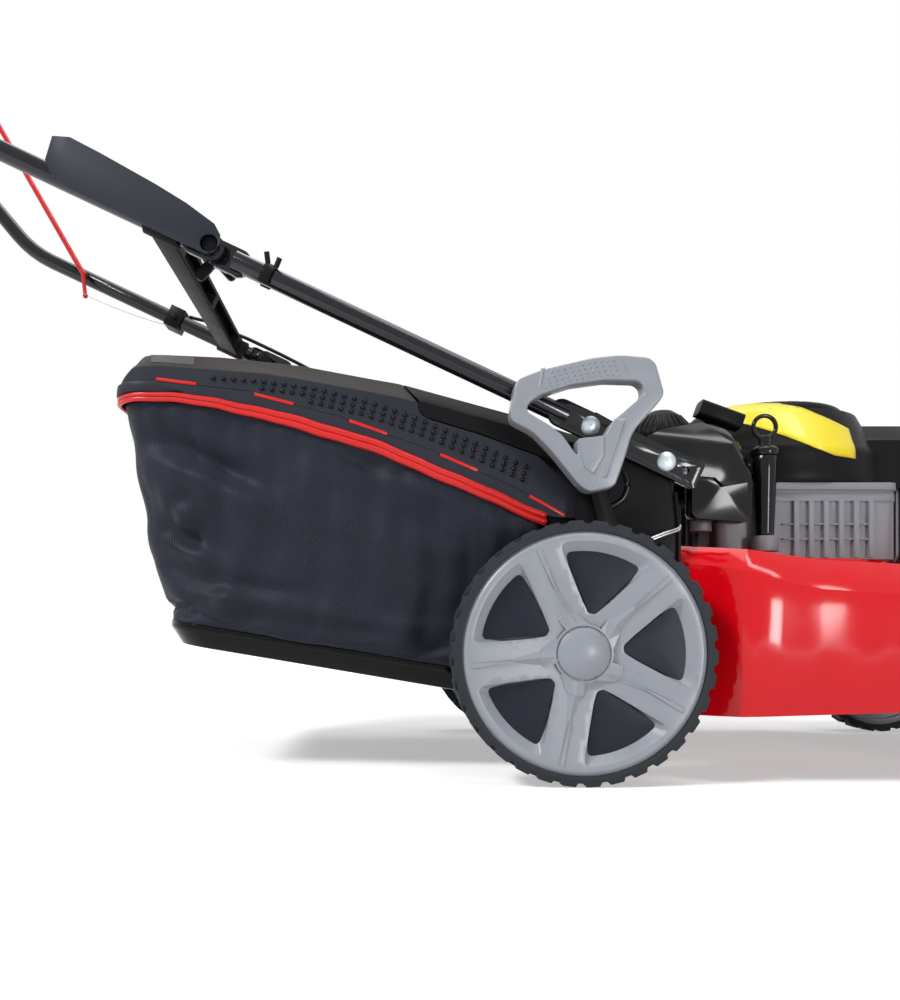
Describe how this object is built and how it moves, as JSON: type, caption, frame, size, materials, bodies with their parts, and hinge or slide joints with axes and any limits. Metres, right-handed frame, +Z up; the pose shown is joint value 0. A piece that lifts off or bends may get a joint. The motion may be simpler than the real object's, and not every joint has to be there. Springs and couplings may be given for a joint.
{
  "type": "push lawn mower",
  "caption": "Petrol push mower with a pressed deck, spoked wheels, folding tube handle, height lever and a rear grass bag of cloth under a moulded lid.",
  "frame": {"origin": "on the ground, midway between the front of the nose bumper and the rear of the foam grip, on the middle line", "axes": "+X forward in the cutting direction, +Y to the mower's left, +Z up"},
  "size_m": [1.6342, 0.56, 1.0164],
  "materials": {
    "deck_paint": "gloss",
    "black_paint": "gloss",
    "arm_paint": "satin",
    "red_wire": "gloss",
    "zinc": "satin",
    "blade_steel": "ground",
    "cast_alloy": "cast",
    "engine_plastic": "fine grain",
    "gloss_black": "gloss",
    "lid_plastic": "fine grain",
    "tray_plastic": "semi-gloss",
    "red_plastic": "satin",
    "grey_plastic": "satin",
    "tread": "moulded",
    "bag_cloth": "coated weave",
    "piping_cloth": "bound edge",
    "foam": "foam",
    "muffler_steel": "heat-proof matt",
    "cable_sheath": "smooth"
  },
  "bodies": {
    "deck": {"deck_shell": "deck_paint", "front_bumper": "engine_plastic", "chamber_baffle": "arm_paint", "discharge_chute": "engine_plastic", "flap_rod": "zinc", "handle_brackets": "arm_paint", "height_quadrant": "arm_paint", "pivot_brackets": "arm_paint", "lower_handle": "black_paint", "handle_bolts": "zinc", "rope_guide": "engine_plastic", "crankcase": "cast_alloy", "cylinder_barrel": "cast_alloy", "spark_plug": "engine_plastic", "blower_shroud": "engine_plastic", "recoil_cover": "engine_plastic", "fuel_tank": "engine_plastic", "air_filter_box": "gloss_black", "carburettor": "cast_alloy", "muffler": "muffler_steel", "dipstick_tube": "gloss_black", "brake_cable": "cable_sheath", "assist_spring": "zinc"},
    "cutter": {"crankshaft": "blade_steel", "flywheel": "cast_alloy", "blade_boss": "cast_alloy", "blade": "blade_steel", "blade_bolt": "zinc"},
    "rope_handle": {"starter_grip": "engine_plastic"},
    "filler_cap": {"fuel_cap": "engine_plastic"},
    "oil_dipstick": {"dipstick": "gloss_black"},
    "rear_flap": {"discharge_flap": "engine_plastic"},
    "grass_bag": {"bag_lid": "lid_plastic", "lid_inserts": "red_plastic", "bag_piping": "piping_cloth", "bag_fabric": "bag_cloth", "bag_tray": "tray_plastic", "bag_frame": "arm_paint"},
    "top_handle": {"upper_handle": "black_paint", "foam_grip": "foam", "console_brace": "gloss_black", "control_hood": "lid_plastic", "cable_clamp": "engine_plastic"},
    "brake_bail": {"bail": "red_wire"},
    "right_knob": {"wing_knob_right": "engine_plastic"},
    "left_knob": {"wing_knob_left": "engine_plastic"},
    "lever_axle": {"rear_axle": "arm_paint", "lever_plate": "arm_paint", "lever_grip": "grey_plastic"},
    "nose_axle": {"front_axle": "arm_paint"},
    "link_bar": {"tie_rod": "zinc"},
    "wheel_rear_right": {"rear_rim_right": "grey_plastic", "rear_tyre_right": "tread"},
    "wheel_rear_left": {"rear_rim_left": "grey_plastic", "rear_tyre_left": "tread"},
    "wheel_front_right": {"front_rim_right": "grey_plastic", "front_tyre_right": "tread"},
    "wheel_front_left": {"front_rim_left": "grey_plastic", "front_tyre_left": "tread"}
  },
  "joints": [
    {"name": "blade_spin", "type": "hinge", "parent": "deck", "child": "cutter", "pos_m": [0.42711, 0, 0.104], "axis": [0, 0, 1], "continuous": true},
    {"name": "starter_pull", "type": "slide", "parent": "deck", "child": "rope_handle", "axis": [-0.9511, 0, 0.309], "range_m": [0, 0.3], "stiffness_N_per_m": 40, "springref_m": -0.1},
    {"name": "cap_lift", "type": "slide", "parent": "deck", "child": "filler_cap", "axis": [0, 0, 1], "range_m": [0, 0.06]},
    {"name": "dipstick_lift", "type": "slide", "parent": "deck", "child": "oil_dipstick", "axis": [0, 0, 1], "range_m": [0, 0.12]},
    {"name": "flap_lift", "type": "hinge", "parent": "deck", "child": "rear_flap", "pos_m": [0.16511, 0, 0.386], "axis": [0, 1, 0], "range_deg": [0, 65], "stiffness_Nm_per_rad": 0.6, "springref_deg": -28.65},
    {"name": "bag_lift", "type": "slide", "parent": "deck", "child": "grass_bag", "axis": [-0.9848, 0, 0.1736], "range_m": [0, 0.45]},
    {"name": "handle_fold", "type": "hinge", "parent": "deck", "child": "top_handle", "pos_m": [-0.27579, 0, 0.58908], "axis": [0, 1, 0], "range_deg": [0, 120], "deforming": ["brake_cable"]},
    {"name": "bail_press", "type": "hinge", "parent": "top_handle", "child": "brake_bail", "pos_m": [-0.55809, 0, 0.72193], "axis": [0, 1, 0], "range_deg": [-13, 0], "stiffness_Nm_per_rad": 2.5, "springref_deg": 17.19},
    {"name": "right_knob_turn", "type": "hinge", "parent": "top_handle", "child": "right_knob", "pos_m": [-0.27579, -0.206, 0.58908], "axis": [0, 1, 0], "range_deg": [-90, 90]},
    {"name": "left_knob_turn", "type": "hinge", "parent": "top_handle", "child": "left_knob", "pos_m": [-0.27579, 0.206, 0.58908], "axis": [0, 1, 0], "range_deg": [-90, 90]},
    {"name": "height_lever", "type": "hinge", "parent": "deck", "child": "lever_axle", "pos_m": [0.19476, 0, 0.16462], "axis": [0, 1, 0], "range_deg": [0, 30], "deforming": ["assist_spring"]},
    {"name": "front_arm", "type": "hinge", "parent": "deck", "child": "nose_axle", "pos_m": [0.77976, 0, 0.12462], "axis": [0, 1, 0], "range_deg": [0, 30]},
    {"name": "link_swing", "type": "hinge", "parent": "lever_axle", "child": "link_bar", "pos_m": [0.15509, 0.231, 0.27363], "axis": [0, 1, 0], "range_deg": [-30, 0]},
    {"name": "rear_right_roll", "type": "hinge", "parent": "lever_axle", "child": "wheel_rear_right", "pos_m": [0.12711, -0.259, 0.14], "axis": [0, 1, 0], "continuous": true},
    {"name": "rear_left_roll", "type": "hinge", "parent": "lever_axle", "child": "wheel_rear_left", "pos_m": [0.12711, 0.259, 0.14], "axis": [0, 1, 0], "continuous": true},
    {"name": "front_right_roll", "type": "hinge", "parent": "nose_axle", "child": "wheel_front_right", "pos_m": [0.71211, -0.259, 0.1], "axis": [0, 1, 0], "continuous": true},
    {"name": "front_left_roll", "type": "hinge", "parent": "nose_axle", "child": "wheel_front_left", "pos_m": [0.71211, 0.259, 0.1], "axis": [0, 1, 0], "continuous": true}
  ],
  "couplings": [
    {"joint": "front_arm", "follows": "height_lever", "ratio": 1},
    {"joint": "link_swing", "follows": "height_lever", "ratio": -1}
  ]
}
